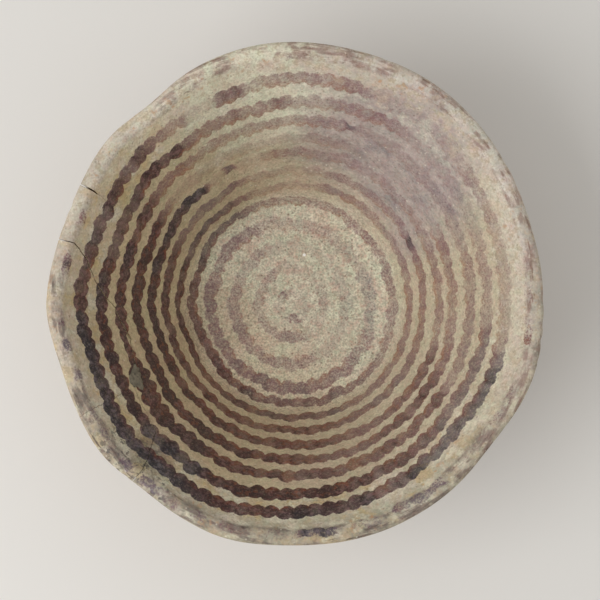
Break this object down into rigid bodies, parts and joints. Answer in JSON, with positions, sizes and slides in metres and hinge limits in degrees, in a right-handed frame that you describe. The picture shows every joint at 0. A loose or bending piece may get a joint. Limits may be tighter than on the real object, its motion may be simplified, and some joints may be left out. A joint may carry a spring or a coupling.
{
  "type": "helmet bowl",
  "caption": "Open ceramic bowl with a flat base, steep flaring wall and rounded lip, slip-coated inside and painted with scalloped concentric rings, one rim sherd re-joined.",
  "frame": {"origin": "middle of the flat underside that the bowl rests on", "axes": "+Z up through the mouth of the bowl; +X to the right and +Y up as the bowl is seen from above, with the re-joined sherd towards -X"},
  "size_m": [0.1502, 0.1525, 0.0641],
  "materials": {
    "clay": "bare smoothed earthenware, matt",
    "slip": "fired cream slip, matt and worn",
    "paint": "fired purple-brown mineral paint, matt and worn",
    "filler": "grey mineral filler, matt and grainy"
  },
  "bodies": {
    "root": {"base_pat": "clay", "lower_wall_course": "clay", "upper_wall_course": "clay", "rim_course": "clay", "rim_sherd": "clay", "interior_slip": "slip", "sherd_slip": "slip", "paint_ring_01": "paint", "paint_ring_02": "paint", "paint_ring_03": "paint", "paint_ring_04": "paint", "paint_ring_05": "paint", "paint_ring_06": "paint", "paint_ring_07": "paint", "paint_ring_08": "paint", "paint_ring_09": "paint", "paint_ring_10": "paint", "paint_ring_10_sherd": "paint", "paint_ring_11": "paint", "paint_ring_11_sherd": "paint", "paint_ring_12": "paint", "paint_ring_12_sherd": "paint", "paint_ring_13": "paint", "paint_ring_13_sherd": "paint", "crack_filler": "filler"}
  },
  "joints": []
}
